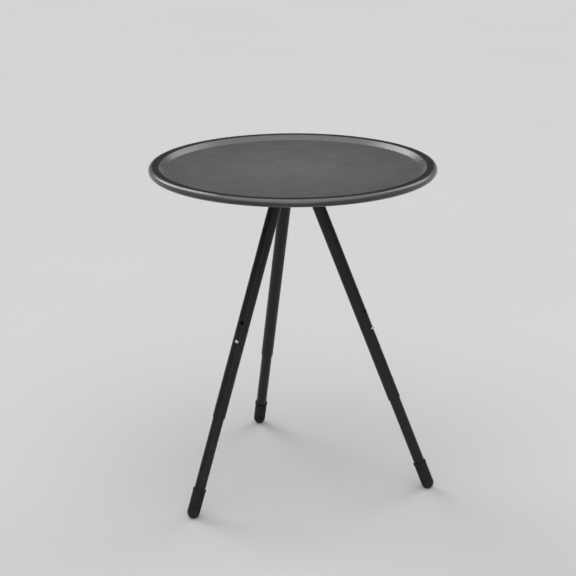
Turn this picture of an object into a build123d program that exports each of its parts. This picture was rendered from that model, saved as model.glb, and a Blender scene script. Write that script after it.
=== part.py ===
from build123d import *
from math import atan2, cos, pi, radians, sin, sqrt, tan
import os

# Round tray-top camping table on three telescopic legs.
# Millimetres, +Z up. The origin is on the floor, under the middle of the tray.
# The front is -Y: the left and right legs stand in front and the third stands at the back.

# Overall sizes, with every leg locked in the same hole
table_height = 470.0
tray_radius = 200.0
foot_circle_radius = 203.0
hub_circle_radius = 16.4
leg_azimuths = {"left": 210.0, "right": 330.0, "back": 90.0}
# Each leg screws in until it is tight, so each stops at a turn of its own
leg_turns = {"left": 27.0, "right": -17.0, "back": 14.0}

# Tray: one sheet, pressed down in the middle and rolled under at the edge
sheet_thickness = 1.0
recess_depth = 7.0
rim_flat_width = 8.6
wall_run = 8.6
floor_bend_radius = 4.0
rim_bend_radius = 3.2
bead_radius = 5.3
bead_wrap = 250.0

# Studs welded under the tray, with the washers and nuts that hold the hub
stud_count = 3
stud_first_azimuth = 30.0
stud_lip_space = 5.5
stud_radius = 2.0
stud_length = 11.0
stud_chamfer = 0.4
stud_base_width = 1.0
stud_base_thickness = 0.8
washer_width = 2.25
washer_thickness = 0.8
nut_across_flats = 7.0
nut_height = 3.2
nut_bevel_angle = 30.0

# Hub: a cast flange with a core, three tilted bosses and a gusset behind each boss
flange_radius = 46.0
flange_thickness = 4.0
flange_lip_width = 3.0
flange_lip_drop = 1.6
flange_lip_round = 0.7
boss_wall = 3.0
boss_length = 27.0
boss_bevel = 0.8
boss_root_radius = 2.0
boss_root_share = 0.8
core_radius = 15.0
core_drop = 19.0
core_draft = 4.0
core_hole_radius = 6.0
core_hole_depth = 14.0
gusset_thickness = 4.0
gusset_rise = 6.0

# Leg tubes, measured up the leg from the point where its axis meets the floor
upper_tube_radius = 8.8
tube_wall = 0.9
tube_gap = 0.2
mouth_height = 144.5
mouth_lip_length = 4.0
mouth_round = 0.4
hole_count = 5
hole_pitch = 26.5
first_hole_above_mouth = 30.0
set_hole = 4
lower_tube_end = 8.0
tube_above_button = 14.0

# Plug and threaded stud in the upper tube's head
plug_length = 20.0
plug_shoulder_thickness = 2.5
plug_groove_depth = 0.5
plug_groove_width = 1.5
leg_stud_radius = 4.0
leg_stud_chamfer = 0.8
leg_stud_in_plug = 14.0
leg_stud_in_boss = 18.0
leg_stud_end_gap = 2.0

# Guide bush on the lower tube's head
bush_flange_thickness = 2.5
bush_stem_length = 8.0
bush_wall = 2.0
bush_round = 0.6

# Snap button, and the leaf spring that carries it
button_radius = 2.5
button_proud = 3.4
button_dome_height = 1.9
button_flange_width = 0.5
button_flange_thickness = 0.6
clip_width = 6.0
clip_thickness = 0.5
clip_nose_margin = 0.8
clip_length = 36.0
clip_bend_radius = 1.3
clip_knee_radius = 6.0

# Rubber foot
cap_wall = 1.15
cap_height = 42.0
cap_lip_height = 3.0
cap_lip_proud = 0.5
cap_groove_count = 3
cap_groove_pitch = 3.0
cap_groove_width = 1.2
cap_groove_depth = 0.5
cap_dome_centre_height = 7.8

# Clearances
press_fit = 0.02
running_fit = 0.05
thread_fit = 0.05
bolt_clearance = 0.25
button_clearance = 0.25
clip_clearance = 0.1
cut_overrun = 5.0

os.makedirs("parts", exist_ok=True)

# Heights of the tray and the hub
tray_floor_height = table_height - recess_depth
tray_underside_height = tray_floor_height - sheet_thickness
flange_bottom_height = tray_underside_height - flange_thickness

# Slope of the legs, and places up a leg's axis
tilt = atan2(foot_circle_radius - hub_circle_radius, tray_underside_height)
boss_face = tray_underside_height / cos(tilt) - boss_length
upper_tube_top = boss_face - plug_shoulder_thickness
leg_stud_end = upper_tube_top - leg_stud_in_plug
first_hole = mouth_height + first_hole_above_mouth
hole_places = [first_hole + index * hole_pitch for index in range(hole_count)]
button_place = hole_places[set_hole - 1]
lower_tube_top = button_place + tube_above_button

# Radii of what goes in or over each other
boss_radius = upper_tube_radius + boss_wall
upper_bore_radius = upper_tube_radius - tube_wall
lower_tube_radius = upper_bore_radius - tube_gap
lower_bore_radius = lower_tube_radius - tube_wall
hole_radius = button_radius + button_clearance
stud_hole_radius = stud_radius + bolt_clearance
stud_base_radius = stud_radius + stud_base_width
washer_radius = stud_hole_radius + washer_width
cap_bore_radius = lower_tube_radius + press_fit
cap_radius = cap_bore_radius + cap_wall

# The studs' washers lie inside the flange's lip, and the bosses' root fillets fit between the bosses
stud_circle_radius = flange_radius - flange_lip_width - stud_lip_space - washer_radius
boss_spread = (hub_circle_radius + flange_thickness * tan(tilt)) * sin(pi / len(leg_azimuths))
boss_root_room = (boss_spread - boss_radius / cos(tilt)) * boss_root_share

# The button's flange lies against the lower tube's wall, and the clip's arm lies under the flange
button_flange_radius = button_radius + button_flange_width
button_flange_top = sqrt(lower_bore_radius**2 - button_flange_radius**2) - clip_clearance
button_flange_foot = button_flange_top - button_flange_thickness


def leg_plane(side):
    """Plane square to a leg where its axis meets the floor; its X faces the leg's button."""
    azimuth = leg_azimuths[side]
    foot = Vector(foot_circle_radius, 0, 0).rotate(Axis.Z, azimuth)
    up = Vector(-sin(tilt), 0, cos(tilt)).rotate(Axis.Z, azimuth)
    outward = Vector(cos(tilt), 0, sin(tilt)).rotate(Axis.Z, azimuth)
    facing = outward.rotate(Axis((0, 0, 0), up), leg_turns[side])
    return Plane(origin=foot, x_dir=facing, z_dir=up)


def leg_section(side):
    """Plane through a leg's axis: X faces the leg's button and Y runs up the leg."""
    square = leg_plane(side)
    return Plane(origin=square.origin, x_dir=square.x_dir, z_dir=-square.y_dir)


def leg_face(side):
    """Plane through a leg's axis and square to its button: X runs up the leg."""
    square = leg_plane(side)
    return Plane(origin=square.origin, x_dir=square.z_dir, z_dir=square.x_dir)


def leg_axis(side):
    """Centre line of a leg, pointing up."""
    square = leg_plane(side)
    return Axis(square.origin, square.z_dir)


def radial_plane(azimuth):
    """Upright plane through the table's middle: X runs out at the azimuth and Y runs up."""
    outward = Vector(1, 0, 0).rotate(Axis.Z, azimuth)
    sideways = Vector(0, -1, 0).rotate(Axis.Z, azimuth)
    return Plane(origin=(0, 0, 0), x_dir=outward, z_dir=sideways)


def stud_places():
    """The circle of studs that hold the hub, between the legs."""
    return PolarLocations(stud_circle_radius, stud_count, start_angle=stud_first_azimuth)


def save(part, name):
    """Label a finished piece and write it to a file of its own."""
    part.label = name
    export_step(part, f"parts/{name}.step")


def make_tray_top():
    """Pressed tray: floor, sloping wall, flat rim and a bead rolled under."""
    bead_centre = tray_radius - bead_radius
    wall_top = bead_centre - rim_flat_width
    wall_foot = wall_top - wall_run
    with BuildPart() as tray_top:
        with BuildSketch(Plane.XZ):
            with BuildLine():
                pressed = FilletPolyline(
                    (0, tray_floor_height),
                    (wall_foot, tray_floor_height),
                    (wall_top, table_height),
                    (bead_centre, table_height),
                    radius=[floor_bend_radius, rim_bend_radius],
                )
                JernArc(pressed @ 1, pressed % 1, bead_radius, -bead_wrap)
                offset(amount=sheet_thickness, side=Side.RIGHT)
            make_face()
        revolve(axis=Axis.Z)
    save(tray_top.part, "tray_top")


def make_weld_studs():
    """Studs under the tray, each on the small flange of its weld."""
    with BuildPart() as weld_studs:
        with BuildSketch(Plane.XY.offset(tray_underside_height)):
            with stud_places():
                Circle(stud_base_radius)
        extrude(amount=-stud_base_thickness)
        with BuildSketch(Plane.XY.offset(tray_underside_height)):
            with stud_places():
                Circle(stud_radius)
        extrude(amount=-stud_length)
        chamfer(weld_studs.faces().group_by(Axis.Z)[0].edges(), stud_chamfer)
    save(weld_studs.part, "weld_studs")


def make_leg_hub():
    """Cast hub: lipped flange, tilted bosses with filleted roots, gussets and a cored middle."""
    top = Plane.XY.offset(tray_underside_height)
    lip_height = flange_bottom_height - flange_lip_drop
    lip_inner = flange_radius - flange_lip_width
    web_top = flange_bottom_height + flange_thickness / 2
    gusset_place = boss_face + gusset_rise
    heel = foot_circle_radius - gusset_place * sin(tilt)
    heel_height = gusset_place * cos(tilt)
    with BuildPart() as leg_hub:
        with BuildSketch(Plane.XZ):
            with BuildLine():
                Polyline(
                    (0, tray_underside_height),
                    (flange_radius, tray_underside_height),
                    (flange_radius, lip_height),
                    (lip_inner, lip_height),
                    (lip_inner, flange_bottom_height),
                    (0, flange_bottom_height),
                    close=True,
                )
            flange = make_face()
            fillet(flange.vertices().group_by(Axis.Y)[0], flange_lip_round)
        revolve(axis=Axis.Z)
        for side in leg_azimuths:
            with BuildSketch(leg_plane(side).offset(boss_face)):
                Circle(boss_radius)
            extrude(amount=boss_length + boss_radius)
        split(bisect_by=top, keep=Keep.BOTTOM)
        fillet(leg_hub.edges().filter_by(GeomType.ELLIPSE), min(boss_root_radius, boss_root_room))
        rings = leg_hub.edges().filter_by(GeomType.CIRCLE)
        chamfer(rings.filter_by_position(Axis.Z, 0, lip_height, (False, False)), boss_bevel)
        for side in leg_azimuths:
            with BuildSketch(radial_plane(leg_azimuths[side])):
                with BuildLine():
                    Polyline(
                        (heel, web_top),
                        (heel, heel_height),
                        (heel + boss_radius * cos(tilt), heel_height + boss_radius * sin(tilt)),
                        (lip_inner, flange_bottom_height),
                        (lip_inner, web_top),
                        close=True,
                    )
                make_face()
            extrude(amount=gusset_thickness / 2, both=True)
        with BuildSketch(top):
            Circle(core_radius)
        extrude(amount=-core_drop, taper=core_draft)
        with BuildSketch(top.offset(-core_drop)):
            Circle(core_hole_radius)
        extrude(amount=core_hole_depth, mode=Mode.SUBTRACT)
        for side in leg_azimuths:
            with BuildSketch(leg_plane(side).offset(boss_face)):
                Circle(leg_stud_radius + thread_fit)
            extrude(amount=leg_stud_in_boss + leg_stud_end_gap, mode=Mode.SUBTRACT)
        with BuildSketch(top):
            with stud_places():
                Circle(stud_hole_radius)
        extrude(amount=-flange_thickness, mode=Mode.SUBTRACT)
        with BuildSketch(top):
            with stud_places():
                Circle(stud_base_radius + bolt_clearance)
        extrude(amount=-(stud_base_thickness + bolt_clearance), mode=Mode.SUBTRACT)
    save(leg_hub.part, "leg_hub")


def make_hub_washers():
    """Plain washers between the hub's flange and the nuts."""
    with BuildPart() as hub_washers:
        with BuildSketch(Plane.XY.offset(flange_bottom_height)):
            with stud_places():
                Circle(washer_radius)
                Circle(stud_hole_radius, mode=Mode.SUBTRACT)
        extrude(amount=-washer_thickness)
    save(hub_washers.part, "hub_washers")


def make_hub_nuts():
    """Hexagon nuts with the corners of both faces bevelled."""
    nut_foot_height = flange_bottom_height - washer_thickness - nut_height
    corner_radius = nut_across_flats / sqrt(3)
    flat_radius = nut_across_flats / 2
    bevel = (corner_radius - flat_radius) * tan(radians(nut_bevel_angle))
    with BuildPart() as nut:
        with BuildSketch():
            RegularPolygon(corner_radius, 6)
            Circle(stud_radius + thread_fit, mode=Mode.SUBTRACT)
        extrude(amount=nut_height)
        with BuildSketch(Plane.XZ):
            with BuildLine():
                Polyline(
                    (0, 0),
                    (flat_radius, 0),
                    (corner_radius, bevel),
                    (corner_radius, nut_height - bevel),
                    (flat_radius, nut_height),
                    (0, nut_height),
                    close=True,
                )
            make_face()
        revolve(axis=Axis.Z, mode=Mode.INTERSECT)
    with BuildPart(Plane.XY.offset(nut_foot_height)) as hub_nuts:
        with stud_places():
            add(nut.part)
    save(hub_nuts.part, "hub_nuts")


def make_leg_stud(side):
    """Threaded stud fixed in the plug; the leg screws into the hub by its free end."""
    with BuildPart() as leg_stud:
        with BuildSketch(leg_plane(side).offset(leg_stud_end)):
            Circle(leg_stud_radius)
        extrude(amount=leg_stud_in_plug + plug_shoulder_thickness + leg_stud_in_boss)
        chamfer(leg_stud.edges().filter_by(GeomType.CIRCLE), leg_stud_chamfer)
    save(leg_stud.part, f"leg_stud_{side}")


def make_leg_plug(side):
    """Turned plug in the upper tube's head: a grooved spigot under a shoulder, bored for the stud."""
    spigot_radius = upper_bore_radius - press_fit
    groove_foot = upper_tube_top - (plug_length + plug_groove_width) / 2
    with BuildPart() as leg_plug:
        with BuildSketch(leg_plane(side).offset(upper_tube_top)):
            Circle(spigot_radius)
        extrude(amount=-plug_length)
        with BuildSketch(leg_plane(side).offset(upper_tube_top)):
            Circle(upper_tube_radius)
        extrude(amount=plug_shoulder_thickness)
        with BuildSketch(leg_plane(side).offset(groove_foot)):
            Circle(upper_tube_radius)
            Circle(spigot_radius - plug_groove_depth, mode=Mode.SUBTRACT)
        extrude(amount=plug_groove_width, mode=Mode.SUBTRACT)
        with BuildSketch(leg_plane(side).offset(leg_stud_end)):
            Circle(leg_stud_radius + press_fit)
        extrude(amount=leg_stud_in_plug + plug_shoulder_thickness, mode=Mode.SUBTRACT)
    save(leg_plug.part, f"leg_plug_{side}")


def make_upper_tube(side):
    """Outer leg tube: a row of holes, and a mouth drawn in to guide the lower tube."""
    guide_radius = lower_tube_radius + running_fit
    guide_top = mouth_height + mouth_lip_length
    draw_in = upper_bore_radius - guide_radius
    with BuildPart() as upper_tube:
        with BuildSketch(leg_section(side)):
            with BuildLine():
                Polyline(
                    (guide_radius, mouth_height),
                    (upper_tube_radius, mouth_height),
                    (upper_tube_radius, upper_tube_top),
                    (upper_bore_radius, upper_tube_top),
                    (upper_bore_radius, guide_top + draw_in),
                    (guide_radius, guide_top),
                    close=True,
                )
            wall = make_face()
            fillet(wall.vertices().group_by(Axis.Y)[0].sort_by(Axis.X)[-1], mouth_round)
        revolve(axis=leg_axis(side))
        with BuildSketch(leg_face(side)):
            with Locations([(place, 0) for place in hole_places]):
                Circle(hole_radius)
        extrude(amount=upper_tube_radius + cut_overrun, mode=Mode.SUBTRACT)
    save(upper_tube.part, f"upper_tube_{side}")


def make_lower_tube(side):
    """Inner leg tube with one hole for its button."""
    with BuildPart() as lower_tube:
        with BuildSketch(leg_plane(side).offset(lower_tube_end)):
            Circle(lower_tube_radius)
            Circle(lower_bore_radius, mode=Mode.SUBTRACT)
        extrude(amount=lower_tube_top - lower_tube_end)
        with BuildSketch(leg_face(side)):
            with Locations((button_place, 0)):
                Circle(hole_radius)
        extrude(amount=lower_tube_radius + cut_overrun, mode=Mode.SUBTRACT)
    save(lower_tube.part, f"lower_tube_{side}")


def make_guide_bush(side):
    """Moulded bush: its stem is pushed into the lower tube and its flange rides in the upper one."""
    flange_outer = upper_bore_radius - running_fit
    stem_outer = lower_bore_radius - press_fit
    stem_inner = stem_outer - bush_wall
    stem_end = lower_tube_top - bush_stem_length
    bush_top = lower_tube_top + bush_flange_thickness
    with BuildPart() as guide_bush:
        with BuildSketch(leg_section(side)):
            with BuildLine():
                Polyline(
                    (stem_inner, stem_end),
                    (stem_outer, stem_end),
                    (stem_outer, lower_tube_top),
                    (flange_outer, lower_tube_top),
                    (flange_outer, bush_top),
                    (stem_inner, bush_top),
                    close=True,
                )
            section = make_face()
            fillet(section.vertices().group_by(Axis.Y)[-1], bush_round)
        revolve(axis=leg_axis(side))
    save(guide_bush.part, f"guide_bush_{side}")


def make_spring_clip(side):
    """V-shaped leaf spring: one arm lies on the tube's wall and the other carries the button."""
    back = clip_clearance - sqrt(lower_bore_radius**2 - (clip_width / 2) ** 2)
    seat = button_flange_foot - clip_clearance - clip_thickness
    nose = button_flange_radius + clip_nose_margin
    with BuildPart() as spring_clip:
        with BuildSketch(leg_section(side)):
            with BuildLine():
                FilletPolyline(
                    (back, button_place - nose),
                    (back, button_place - clip_length),
                    (seat, button_place - nose),
                    (seat, button_place + nose),
                    radius=[clip_bend_radius, clip_knee_radius],
                )
                offset(amount=clip_thickness, side=Side.RIGHT)
            make_face()
        extrude(amount=clip_width / 2, both=True)
    save(spring_clip.part, f"spring_clip_{side}")


def make_snap_button(side):
    """Domed pin with a flange that stays behind the lower tube's wall."""
    dome_tip = upper_tube_radius + button_proud
    dome_foot = dome_tip - button_dome_height
    dome_radius = (button_radius**2 + button_dome_height**2) / (2 * button_dome_height)
    shank_side = button_place + button_radius
    flange_side = button_place + button_flange_radius
    with BuildPart() as snap_button:
        with BuildSketch(leg_section(side)):
            with BuildLine():
                Polyline(
                    (dome_tip, button_place),
                    (button_flange_foot, button_place),
                    (button_flange_foot, flange_side),
                    (button_flange_top, flange_side),
                    (button_flange_top, shank_side),
                    (dome_foot, shank_side),
                )
                RadiusArc((dome_foot, shank_side), (dome_tip, button_place), dome_radius)
            make_face()
        revolve(axis=Axis(leg_plane(side).offset(button_place).origin, leg_plane(side).x_dir))
    save(snap_button.part, f"snap_button_{side}")


def make_foot_cap(side):
    """Rubber cap: a sleeve with a lip and grip grooves, domed below and flat where it stands."""
    dome_centre = cap_dome_centre_height / cos(tilt)
    lip_radius = cap_radius + cap_lip_proud
    lip_foot = cap_height - cap_lip_height
    grooves = [dome_centre + (index + 1) * cap_groove_pitch for index in range(cap_groove_count)]
    with BuildPart() as foot_cap:
        with BuildSketch(leg_section(side)):
            with BuildLine():
                Polyline(
                    (0, dome_centre - cap_radius),
                    (0, lower_tube_end),
                    (cap_bore_radius, lower_tube_end),
                    (cap_bore_radius, cap_height),
                    (lip_radius, cap_height),
                    (lip_radius, lip_foot),
                    (cap_radius, lip_foot - cap_lip_proud),
                    (cap_radius, dome_centre),
                )
                CenterArc((0, dome_centre), cap_radius, 0, -90)
            make_face()
            with Locations([(cap_radius, place) for place in grooves]):
                Rectangle(2 * cap_groove_depth, cap_groove_width, mode=Mode.SUBTRACT)
        revolve(axis=leg_axis(side))
        split(bisect_by=Plane.XY, keep=Keep.TOP)
    save(foot_cap.part, f"foot_cap_{side}")


make_tray_top()
make_weld_studs()
make_leg_hub()
make_hub_washers()
make_hub_nuts()
for side in leg_azimuths:
    make_leg_stud(side)
    make_leg_plug(side)
    make_upper_tube(side)
    make_lower_tube(side)
    make_guide_bush(side)
    make_spring_clip(side)
    make_snap_button(side)
    make_foot_cap(side)
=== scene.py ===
import math

import bmesh
import bpy
from mathutils import Matrix, Vector


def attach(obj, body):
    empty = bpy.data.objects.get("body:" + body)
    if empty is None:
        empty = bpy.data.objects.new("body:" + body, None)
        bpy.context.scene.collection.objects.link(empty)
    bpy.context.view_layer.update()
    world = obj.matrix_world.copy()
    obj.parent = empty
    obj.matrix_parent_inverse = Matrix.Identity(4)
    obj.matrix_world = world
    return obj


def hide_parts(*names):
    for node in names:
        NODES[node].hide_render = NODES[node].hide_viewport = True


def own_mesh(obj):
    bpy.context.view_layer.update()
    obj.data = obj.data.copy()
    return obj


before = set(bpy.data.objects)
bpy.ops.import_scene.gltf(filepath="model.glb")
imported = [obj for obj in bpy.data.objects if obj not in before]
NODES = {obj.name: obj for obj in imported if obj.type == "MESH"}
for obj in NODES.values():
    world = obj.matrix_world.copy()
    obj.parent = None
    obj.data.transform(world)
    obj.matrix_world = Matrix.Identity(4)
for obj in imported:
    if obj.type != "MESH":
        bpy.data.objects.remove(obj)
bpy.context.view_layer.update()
SIDES = ("left", "right", "back")
MM = 0.001

# Camera, from a fit of the tray's outline, the legs and the buttons
IMAGE_PIXELS = 576
SENSOR = 36.0
FOCAL_PIXELS = 1528.6
CAMERA_DISTANCE = 2.068
CAMERA_HEIGHT = 0.9636
CAMERA_PITCH = 0.31566
CAMERA_YAW = -0.00351
CAMERA_ROLL = -0.00416
VIEW_TURN = math.radians(-15.79)

# Radii and heights of the tray, as in the CAD model
FLOOR_RADIUS = 177.3 * MM
RIM_RADIUS = 185.3 * MM
BEAD_RADIUS = 194.7 * MM
BEAD_HEIGHT = 464.7 * MM
TRAY_FLOOR = 463.0 * MM
TRAY_UNDERSIDE = 462.0 * MM

# How far the tray's finishes run into each other: to both sides at the floor's edge, where the wall's painted
# sheen begins, and at the rim's edge, and inwards, outwards and upwards at the bead's painted highlight
EDGE_FADE = 0.8 * MM
BEAD_FADE_IN = 0.6 * MM
BEAD_FADE_OUT = 1.2 * MM
BEAD_FADE_UP = 2.0 * MM

# Tray floor: the share of its clouds against its streaks, the radius within which it is lightest, how much
# lighter it is there, and the strength of its grain and of the grain elsewhere on the tray
CLOUD_SHARE = 0.6
LIGHTEST_RADIUS = 30.0 * MM
MIDDLE_LIFT = 0.03
FLOOR_GRAIN = 0.8
GRAIN_ELSEWHERE = 0.04

# How much less rough a fully rubbed streak on a tube is
RUB_POLISH = 0.15

# Height up to which the rubber caps are dusty, and the greatest share of the dust in their colour
DUST_HEIGHT = 22.0 * MM
DUST_SHARE = 0.45

# Ends of the range in which most of a noise lies
NOISE_LOW = 0.3
NOISE_HIGH = 0.7

# Studio dome: a wide soft light overhead, a smaller one behind each shoulder of the table and a dim one in
# front. Each is given by its azimuth from the camera, its elevation, the cosines at which it begins and is
# full, and its brightness. SURROUND is the brightness of the whole dome, to which they add.
SURROUND = 0.1
DOME_LIGHTS = (
    (0.0, 80.0, 0.5, 0.85, 1.2),
    (-136.0, 35.0, 0.93, 0.98, 3.9),
    (136.0, 35.0, 0.93, 0.98, 2.2),
    (5.0, 16.0, 0.93, 0.99, 1.2),
)

# Pale backdrop. The camera sees it everywhere. Reflected and refracted rays see it low down only: all of it
# up to BACKDROP_FULL and none from BACKDROP_GONE, both the sine of an elevation.
BACKDROP = 0.66
BACKDROP_FULL = math.sin(math.radians(2.0))
BACKDROP_GONE = math.sin(math.radians(6.0))

# Studio floor: its radius, its number of sides and the size of the patches in its tone
GROUND_RADIUS = 60.0
GROUND_SIDES = 96
GROUND_PATCH = 0.6

# Studs welded under the tray, as in the CAD model, with a thread M4 x 0.7. The crest and the root of the
# thread are each flat over the same share of the pitch.
STUD_AZIMUTHS = (30.0, 150.0, 270.0)
STUD_CIRCLE = 33.0 * MM
STUD_LENGTH = 11.0 * MM
STUD_BASE_RADIUS = 3.0 * MM
STUD_BASE_THICKNESS = 0.8 * MM
THREAD_CREST = 2.0 * MM
THREAD_ROOT = 1.6 * MM
THREAD_FLAT = 0.1875
THREAD_PITCH = 0.7 * MM
THREAD_SEGMENTS = 24
RINGS_PER_TURN = 6
STUD_TIP_RADIUS = 0.95 * THREAD_ROOT

# Small parts copied from CAD: the reach within which corners are one, the turn of a flat face and of an
# edge, and the rounding of that edge
COPY_WELD = 0.001 * MM
COPY_FLAT = math.radians(0.5)
COPY_SHARP = math.radians(40.0)
COPY_BEVEL = 0.08 * MM


def make_camera():
    """The photograph's camera, turned into the part's own frame."""
    turn = Matrix.Rotation(VIEW_TURN, 3, "Z")
    cos_pitch, sin_pitch = math.cos(CAMERA_PITCH), math.sin(CAMERA_PITCH)
    cos_yaw, sin_yaw = math.cos(CAMERA_YAW), math.sin(CAMERA_YAW)
    forward = turn @ Vector((sin_yaw * cos_pitch, cos_yaw * cos_pitch, -sin_pitch))
    level = turn @ Vector((cos_yaw, -sin_yaw, 0.0))
    upright = level.cross(forward)
    right = math.cos(CAMERA_ROLL) * level + math.sin(CAMERA_ROLL) * upright
    up = -math.sin(CAMERA_ROLL) * level + math.cos(CAMERA_ROLL) * upright
    place = turn @ Vector((0.0, -CAMERA_DISTANCE, CAMERA_HEIGHT))
    data = bpy.data.cameras.new("camera")
    data.sensor_width = SENSOR
    data.lens = FOCAL_PIXELS / IMAGE_PIXELS * SENSOR
    camera = bpy.data.objects.new("camera", data)
    camera.matrix_world = Matrix.Translation(place) @ Matrix((right, up, -forward)).transposed().to_4x4()
    bpy.context.scene.collection.objects.link(camera)
    bpy.context.scene.camera = camera


class Nodes:
    """Makes nodes in the node tree of a material or of the world."""

    def __init__(self, tree):
        self.tree = tree

    def node(self, kind, **settings):
        """A new node of a kind, with its settings."""
        made = self.tree.nodes.new(kind)
        for key, value in settings.items():
            setattr(made, key, value)
        return made

    def link(self, source, target):
        """Links an output socket to an input socket."""
        self.tree.links.new(source, target)

    def feed(self, value, target):
        """Links a socket, or sets a plain value."""
        if isinstance(value, bpy.types.NodeSocket):
            self.link(value, target)
        else:
            target.default_value = value

    def axes(self, vector):
        """The X, Y and Z sockets of a vector."""
        split = self.node("ShaderNodeSeparateXYZ")
        self.link(vector, split.inputs["Vector"])
        return split.outputs

    def maths(self, operation, a, b=0.0):
        """Works out a number from one or two numbers or number sockets."""
        made = self.node("ShaderNodeMath", operation=operation)
        self.feed(a, made.inputs[0])
        self.feed(b, made.inputs[1])
        return made.outputs["Value"]

    def span(self, value, low, high, new_low=0.0, new_high=1.0, smooth=False):
        """Maps low..high of a value onto new_low..new_high, held at both ends."""
        made = self.node("ShaderNodeMapRange", clamp=True)
        made.interpolation_type = "SMOOTHSTEP" if smooth else "LINEAR"
        self.feed(value, made.inputs["Value"])
        ends = {"From Min": low, "From Max": high, "To Min": new_low, "To Max": new_high}
        for socket, end in ends.items():
            self.feed(end, made.inputs[socket])
        return made.outputs["Result"]

    def mixed(self, factor, a, b):
        """Mixes two numbers or number sockets."""
        return self.span(factor, 0.0, 1.0, a, b)


class Finish(Nodes):
    """A Principled material under construction."""

    def __init__(self, name, **values):
        self.material = bpy.data.materials.new(name)
        self.material.use_nodes = True
        super().__init__(self.material.node_tree)
        self.tree.nodes.clear()
        self.shader = self.node("ShaderNodeBsdfPrincipled")
        output = self.node("ShaderNodeOutputMaterial")
        self.link(self.shader.outputs["BSDF"], output.inputs["Surface"])
        self.use(**values)

    def use(self, **sockets):
        """Links or sets sockets of the shader, and gives the material."""
        for socket, value in sockets.items():
            self.feed(value, self.shader.inputs[socket.replace("_", " ")])
        return self.material

    def place(self):
        """Coordinates of the part at rest, in metres."""
        return self.node("ShaderNodeTexCoord").outputs["Object"]

    def stretched(self, x=1.0, y=1.0, z=1.0):
        """Coordinates multiplied by axis. A factor below 1 draws a noise out along its axis."""
        mapping = self.node("ShaderNodeMapping")
        self.link(self.place(), mapping.inputs["Vector"])
        mapping.inputs["Scale"].default_value = (x, y, z)
        return mapping.outputs["Vector"]

    def radius(self):
        """Distance from the part's own upright axis."""
        axes = self.axes(self.place())
        squares = [self.maths("MULTIPLY", axes[name], axes[name]) for name in ("X", "Y")]
        return self.maths("SQRT", self.maths("ADD", *squares))

    def height(self):
        """Height over the part's own floor."""
        return self.axes(self.place())["Z"]

    def noise(self, size, detail=2.0, roughness=0.5, vector=None):
        """Noise whose features are about size metres across."""
        made = self.node("ShaderNodeTexNoise")
        self.link(vector or self.place(), made.inputs["Vector"])
        made.inputs["Scale"].default_value = 1.0 / size
        made.inputs["Detail"].default_value = detail
        made.inputs["Roughness"].default_value = roughness
        return made.outputs["Fac"]

    def blend(self, factor, a, b):
        """Mixes two colours or colour sockets."""
        made = self.node("ShaderNodeMix", data_type="RGBA")
        self.feed(factor, made.inputs["Factor"])
        inputs = [s for s in made.inputs if s.type == "RGBA"]
        self.feed(a, inputs[0])
        self.feed(b, inputs[1])
        return [s for s in made.outputs if s.type == "RGBA"][0]

    def mottled(self, dark, light, size, detail=2.0):
        """A colour that wanders between two, in patches about size metres across."""
        return self.blend(self.noise(size, detail), dark, light)

    def uneven(self, low, high, size, detail=2.0):
        """A number that wanders between two, in patches about size metres across."""
        return self.span(self.noise(size, detail), NOISE_LOW, NOISE_HIGH, low, high)

    def bumps(self, size, depth, strength, detail=2.0, normal=None):
        """Bumps about size metres across, on top of those of another normal."""
        made = self.node("ShaderNodeBump")
        self.link(self.noise(size, detail), made.inputs["Height"])
        made.inputs["Distance"].default_value = depth
        self.feed(strength, made.inputs["Strength"])
        if normal is not None:
            self.link(normal, made.inputs["Normal"])
        return made.outputs["Normal"]


def grey(tone, tint=(1.0, 1.0, 1.0)):
    """The colour of a linear tone, tinted."""
    return (tone * tint[0], tone * tint[1], tone * tint[2], 1.0)


def tray_floor_colour(f, radius):
    """Clouded and faintly streaked, and lighter towards the middle."""
    cloud = f.noise(size=38 * MM, detail=4.0, roughness=0.62)
    streak = f.noise(size=16 * MM, detail=3.0, vector=f.stretched(x=0.28))
    clouds = f.maths("MULTIPLY", cloud, CLOUD_SHARE)
    streaks = f.maths("MULTIPLY", streak, 1.0 - CLOUD_SHARE)
    mottle = f.maths("ADD", clouds, streaks)
    towards_middle = f.span(radius, LIGHTEST_RADIUS, FLOOR_RADIUS, new_low=1.0, new_high=0.0)
    tone = f.span(mottle, low=0.36, high=0.64, new_low=0.032, new_high=0.05)
    tone = f.maths("ADD", tone, f.maths("MULTIPLY", towards_middle, MIDDLE_LIFT))
    colour = f.node("ShaderNodeCombineColor")
    for channel, share in (("Red", 1.0), ("Green", 1.0), ("Blue", 1.03)):
        f.link(f.maths("MULTIPLY", tone, share), colour.inputs[channel])
    return colour.outputs["Color"]


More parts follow.
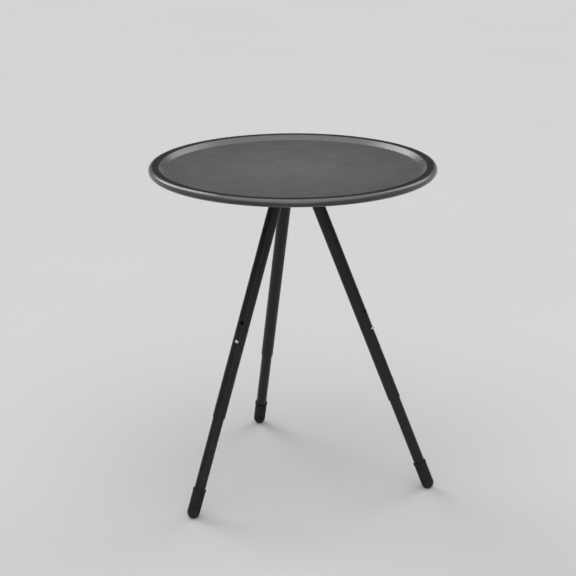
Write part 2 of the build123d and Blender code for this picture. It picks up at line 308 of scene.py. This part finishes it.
def tray_finish():
    """Black enamel: glossy on the rim and bead, satin on the wall, matt and finely grained on the floor, with
    a painted sheen on the wall and a painted highlight on the bead's upper half.
    """
    f = Finish("tray_enamel", IOR=1.5, Specular_IOR_Level=0.8)
    radius = f.radius()
    off_floor = f.span(radius, FLOOR_RADIUS - EDGE_FADE, FLOOR_RADIUS + EDGE_FADE, smooth=True)
    on_rim = f.span(radius, RIM_RADIUS - EDGE_FADE, RIM_RADIUS + EDGE_FADE, smooth=True)
    on_bead = f.span(radius, BEAD_RADIUS - BEAD_FADE_IN, BEAD_RADIUS + BEAD_FADE_OUT, smooth=True)
    above = f.span(f.height(), BEAD_HEIGHT, BEAD_HEIGHT + BEAD_FADE_UP, smooth=True)
    # Painted sheen: the wall is a far lighter grey than the floor and rim of the same enamel. It stands in
    # for the bright overhead light reflected off its satin surface.
    wall_painted_sheen = f.mottled(dark=grey(0.092), light=grey(0.102), size=9 * MM)
    rim_colour = f.mottled(dark=grey(0.003), light=grey(0.005), size=20 * MM)
    # Painted highlight: the upper half of the bead is light grey where light from overhead falls on it, while
    # its lower half stays near-black.
    bead_painted_highlight = f.mottled(dark=grey(0.085), light=grey(0.105), size=12 * MM)
    colour = f.blend(off_floor, tray_floor_colour(f, radius), wall_painted_sheen)
    colour = f.blend(on_rim, colour, rim_colour)
    colour = f.blend(f.maths("MULTIPLY", on_bead, above), colour, bead_painted_highlight)
    rough_floor = f.uneven(low=0.55, high=0.66, size=22 * MM, detail=3.0)
    rough_wall = f.uneven(low=0.24, high=0.3, size=14 * MM)
    rough_rim = f.uneven(low=0.18, high=0.26, size=12 * MM)
    rough = f.mixed(on_rim, f.mixed(off_floor, rough_floor, rough_wall), rough_rim)
    strength = f.mixed(off_floor, FLOOR_GRAIN, GRAIN_ELSEWHERE)
    grain = f.bumps(size=0.7 * MM, depth=0.05 * MM, strength=strength)
    peel = f.bumps(size=3.5 * MM, depth=0.02 * MM, strength=0.2, normal=grain)
    return f.use(Base_Color=colour, Roughness=rough, Normal=peel)


def tube_finish(name, rubbed):
    """Satin black powder coat with flecks of dust, and with fine upright streaks from rubbing."""
    f = Finish(name, IOR=1.5, Specular_IOR_Level=0.25)
    coat = f.mottled(dark=grey(0.012), light=grey(0.02), size=18 * MM, detail=3.0)
    flecks = f.noise(size=2.2 * MM, detail=4.0, roughness=0.7)
    flecks = f.span(flecks, low=0.6, high=0.74, new_high=0.3)
    streaks = f.noise(size=0.9 * MM, detail=3.0, vector=f.stretched(z=0.04))
    streaks = f.span(streaks, low=0.58, high=0.76, new_high=rubbed)
    colour = f.blend(flecks, coat, grey(0.06, tint=(1.0, 0.97, 0.93)))
    colour = f.blend(streaks, colour, grey(0.09))
    satin = f.uneven(low=0.36, high=0.46, size=7 * MM, detail=3.0)
    rough = f.maths("SUBTRACT", satin, f.maths("MULTIPLY", streaks, RUB_POLISH))
    grain = f.bumps(size=0.5 * MM, depth=0.02 * MM, strength=0.5)
    peel = f.bumps(size=3.0 * MM, depth=0.02 * MM, strength=0.3, normal=grain)
    return f.use(Base_Color=colour, Roughness=rough, Normal=peel)


def hub_finish():
    """Die-cast alloy under a coarse black coat."""
    f = Finish("hub_casting", IOR=1.5, Specular_IOR_Level=0.4)
    colour = f.mottled(dark=grey(0.014), light=grey(0.026), size=6 * MM, detail=4.0)
    rough = f.uneven(low=0.45, high=0.62, size=3 * MM, detail=3.0)
    skin = f.bumps(size=0.9 * MM, depth=0.06 * MM, strength=0.6, detail=3.0)
    return f.use(Base_Color=colour, Roughness=rough, Normal=skin)


def zinc_finish():
    """Bright zinc on small steel parts."""
    f = Finish("zinc_plate", Metallic=1.0)
    dark = grey(0.5, tint=(1.0, 0.98, 0.93))
    light = grey(0.66, tint=(1.0, 0.99, 0.96))
    colour = f.mottled(dark, light, size=2.5 * MM, detail=3.0)
    rough = f.uneven(low=0.28, high=0.42, size=1.2 * MM, detail=3.0)
    skin = f.bumps(size=0.4 * MM, depth=0.01 * MM, strength=0.5)
    return f.use(Base_Color=colour, Roughness=rough, Normal=skin)


def turned_finish():
    """Turned aluminium with a fine grain."""
    f = Finish("turned_alloy", Metallic=1.0)
    colour = f.mottled(dark=grey(0.6), light=grey(0.7), size=4 * MM)
    rough = f.uneven(low=0.25, high=0.36, size=1.5 * MM)
    skin = f.bumps(size=0.3 * MM, depth=0.01 * MM, strength=0.6)
    return f.use(Base_Color=colour, Roughness=rough, Normal=skin)


def spring_finish():
    """Rolled spring steel, slightly blued."""
    f = Finish("spring_steel", Metallic=1.0)
    dark = grey(0.36, tint=(0.95, 0.97, 1.0))
    light = grey(0.46, tint=(1.0, 0.98, 0.94))
    colour = f.mottled(dark, light, size=3 * MM)
    rough = f.uneven(low=0.3, high=0.4, size=1 * MM)
    skin = f.bumps(size=0.25 * MM, depth=0.01 * MM, strength=0.4)
    return f.use(Base_Color=colour, Roughness=rough, Normal=skin)


def button_finish():
    """Bright steel, rubbed by the tube it slides in."""
    f = Finish("button_steel", Metallic=1.0)
    colour = f.mottled(dark=grey(0.62), light=grey(0.8), size=1.2 * MM, detail=3.0)
    rough = f.uneven(low=0.16, high=0.3, size=0.8 * MM, detail=3.0)
    skin = f.bumps(size=0.3 * MM, depth=0.008 * MM, strength=0.5)
    return f.use(Base_Color=colour, Roughness=rough, Normal=skin)


def bush_finish():
    """Moulded nylon."""
    f = Finish("bush_nylon", IOR=1.5, Specular_IOR_Level=0.4)
    colour = f.mottled(dark=grey(0.03), light=grey(0.04), size=3 * MM)
    rough = f.uneven(low=0.4, high=0.5, size=2 * MM)
    skin = f.bumps(size=0.5 * MM, depth=0.02 * MM, strength=0.4)
    return f.use(Base_Color=colour, Roughness=rough, Normal=skin)


def rubber_finish():
    """Matt black rubber, dusty towards the ground."""
    f = Finish("cap_rubber", IOR=1.5, Specular_IOR_Level=0.25)
    clean = f.mottled(dark=grey(0.012), light=grey(0.02), size=5 * MM)
    near_ground = f.span(f.height(), 0.0, DUST_HEIGHT, new_low=1.0, new_high=0.0)
    patches = f.span(f.noise(size=4 * MM, detail=4.0, roughness=0.7), low=0.42, high=0.7)
    dust = f.maths("MULTIPLY", f.maths("MULTIPLY", near_ground, patches), DUST_SHARE)
    colour = f.blend(dust, clean, grey(0.1, tint=(1.0, 0.92, 0.8)))
    rough = f.uneven(low=0.62, high=0.78, size=3 * MM)
    skin = f.bumps(size=0.6 * MM, depth=0.04 * MM, strength=0.7, detail=3.0)
    return f.use(Base_Color=colour, Roughness=rough, Normal=skin)


def dress(names, material):
    """Gives CAD nodes their material."""
    for name in names:
        for slot in NODES[name].material_slots:
            slot.link = "OBJECT"
            slot.material = material


def per_leg(stem):
    """The names of a CAD node that each leg has."""
    return [f"{stem}_{side}" for side in SIDES]


def make_piece(name, build, material):
    """An object of a finished mesh, in one material."""
    mesh = bpy.data.meshes.new(name)
    build.to_mesh(mesh)
    build.free()
    mesh.materials.append(material)
    piece = bpy.data.objects.new(name, mesh)
    bpy.context.scene.collection.objects.link(piece)
    return piece


def thread_radius(turns):
    """Radius of a thread at a number of turns along it: flat crests and roots with sloping flanks between."""
    flank = abs(2.0 * (turns % 1.0) - 1.0)
    rise = (flank - THREAD_FLAT) / (1.0 - 2.0 * THREAD_FLAT)
    return THREAD_ROOT + (THREAD_CREST - THREAD_ROOT) * min(max(rise, 0.0), 1.0)


def add_stud(build, x, y):
    """One welded stud with a cut thread, pointing down from the tray's underside."""
    threaded_length = STUD_LENGTH - STUD_BASE_THICKNESS
    count = int(threaded_length / (THREAD_PITCH / RINGS_PER_TURN))
    levels = [(0.0, STUD_BASE_RADIUS, False), (STUD_BASE_THICKNESS, STUD_BASE_RADIUS, False)]
    for index in range(count + 1):
        depth = STUD_BASE_THICKNESS + index * threaded_length / count
        limit = STUD_TIP_RADIUS + min(STUD_LENGTH - depth, THREAD_CREST)
        levels.append((depth, limit, True))
    rings = []
    for depth, limit, threaded in levels:
        ring = []
        for segment in range(THREAD_SEGMENTS):
            share = segment / THREAD_SEGMENTS
            angle = 2 * math.pi * share
            radius = min(limit, thread_radius(depth / THREAD_PITCH + share)) if threaded else limit
            ring.append(build.verts.new((
                x + radius * math.cos(angle), y + radius * math.sin(angle), TRAY_UNDERSIDE - depth)))
        rings.append(ring)
    for upper, lower in zip(rings, rings[1:]):
        for segment in range(THREAD_SEGMENTS):
            after = (segment + 1) % THREAD_SEGMENTS
            build.faces.new((upper[segment], lower[segment], lower[after], upper[after]))
    for ring, depth in ((rings[0], 0.0), (rings[-1], STUD_LENGTH)):
        middle = build.verts.new((x, y, TRAY_UNDERSIDE - depth))
        for segment in range(THREAD_SEGMENTS):
            build.faces.new((ring[segment], ring[(segment + 1) % THREAD_SEGMENTS], middle))


def make_threaded_studs(material):
    """The welded studs with their threads, in place of the plain ones."""
    build = bmesh.new()
    for azimuth in STUD_AZIMUTHS:
        turn = math.radians(azimuth)
        add_stud(build, STUD_CIRCLE * math.cos(turn), STUD_CIRCLE * math.sin(turn))
    bmesh.ops.recalc_face_normals(build, faces=build.faces)
    studs = make_piece("threaded_studs", build, material)
    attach(studs, "frame")
    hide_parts("weld_studs")


def rounded_copy(node, name, material):
    """A new piece in the place of a CAD node, with its sharp edges rounded."""
    build = bmesh.new()
    build.from_mesh(NODES[node].data)
    bmesh.ops.remove_doubles(build, verts=build.verts, dist=COPY_WELD)
    bmesh.ops.dissolve_limit(build, angle_limit=COPY_FLAT, verts=build.verts, edges=build.edges)
    edges = [edge for edge in build.edges if edge.calc_face_angle(0.0) > COPY_SHARP]
    bmesh.ops.bevel(build, geom=edges, offset=COPY_BEVEL, segments=2, profile=0.5, affect="EDGES")
    for face in build.faces:
        face.smooth = True
        face.material_index = 0
    piece = make_piece(name, build, material)
    piece.data.set_sharp_from_angle(angle=COPY_SHARP)
    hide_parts(node)
    return piece


def make_leaf_springs(material):
    """The buttons' leaf springs: rounded copies of the clips, each with a mesh of its own, carried by its
    lower leg.
    """
    for side in SIDES:
        spring = rounded_copy(f"spring_clip_{side}", f"leaf_spring_{side}", material)
        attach(spring, f"lower_leg_{side}")
        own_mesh(spring)


def make_button_pins(material):
    """The snap buttons, in place of the sharp-edged ones."""
    for side in SIDES:
        pin = rounded_copy(f"snap_button_{side}", f"button_pin_{side}", material)
        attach(pin, f"button_{side}")


def make_floor():
    """Plain pale floor."""
    f = Finish("floor_paper", Roughness=0.9, Specular_IOR_Level=0.1)
    paper = f.mottled(dark=grey(0.6), light=grey(0.63), size=GROUND_PATCH, detail=3.0)
    build = bmesh.new()
    bmesh.ops.create_circle(build, cap_ends=True, segments=GROUND_SIDES, radius=GROUND_RADIUS)
    floor = make_piece("floor", build, f.use(Base_Color=paper))


def from_camera(azimuth, elevation):
    """Direction towards a place in the studio. Azimuth is measured from the photograph's camera."""
    around = VIEW_TURN - math.pi / 2 + math.radians(azimuth)
    rise = math.radians(elevation)
    return Vector((math.cos(around) * math.cos(rise), math.sin(around) * math.cos(rise), math.sin(rise)))


def make_world():
    """Studio dome with broad soft lights, over a pale backdrop."""
    world = bpy.data.worlds.new("studio")
    world.use_nodes = True
    w = Nodes(world.node_tree)
    direction = w.node("ShaderNodeTexCoord").outputs["Generated"]
    total = SURROUND
    for azimuth, elevation, edge, core, brightness in DOME_LIGHTS:
        nearness = w.node("ShaderNodeVectorMath", operation="DOT_PRODUCT")
        w.link(direction, nearness.inputs[0])
        nearness.inputs[1].default_value = from_camera(azimuth, elevation)
        light = w.span(nearness.outputs["Value"], edge, core, new_high=brightness, smooth=True)
        total = w.maths("ADD", total, light)
    low = w.span(w.axes(direction)["Z"], BACKDROP_GONE, BACKDROP_FULL, smooth=True)
    path = w.node("ShaderNodeLightPath").outputs
    mirrored = w.maths("MAXIMUM", path["Is Glossy Ray"], path["Is Transmission Ray"])
    seen = w.maths("MAXIMUM", path["Is Camera Ray"], w.maths("MULTIPLY", low, mirrored))
    background = w.tree.nodes["Background"]
    background.inputs["Color"].default_value = grey(1.0)
    w.link(w.mixed(seen, total, BACKDROP), background.inputs["Strength"])
    bpy.context.scene.world = world


def make_light(name, azimuth, elevation, distance, width, height, power):
    """Soft light that faces the tray. Azimuth is measured from the photograph's camera."""
    data = bpy.data.lights.new(name, "AREA")
    data.shape = "RECTANGLE"
    data.size = width
    data.size_y = height
    data.energy = power
    back = from_camera(azimuth, elevation)
    light = bpy.data.objects.new(name, data)
    light.location = Vector((0.0, 0.0, TRAY_FLOOR)) + back * distance
    light.rotation_mode = "QUATERNION"
    light.rotation_quaternion = back.to_track_quat("Z", "Y")
    bpy.context.scene.collection.objects.link(light)


make_camera()
dress(["tray_top"], tray_finish())
dress(per_leg("upper_tube"), tube_finish("outer_coat", rubbed=0.12))
dress(per_leg("lower_tube"), tube_finish("inner_coat", rubbed=0.5))
dress(["leg_hub"], hub_finish())
zinc = zinc_finish()
dress(["hub_nuts", "hub_washers", "weld_studs"] + per_leg("leg_stud"), zinc)
make_threaded_studs(zinc)
dress(per_leg("leg_plug"), turned_finish())
springs = spring_finish()
dress(per_leg("spring_clip"), springs)
make_leaf_springs(springs)
pins = button_finish()
dress(per_leg("snap_button"), pins)
make_button_pins(pins)
dress(per_leg("guide_bush"), bush_finish())
dress(per_leg("foot_cap"), rubber_finish())
make_floor()
make_world()
make_light("top", azimuth=0.0, elevation=75.0, distance=3.0, width=1.8, height=1.8, power=4.0)

bpy.context.scene.view_settings.view_transform = "Standard"
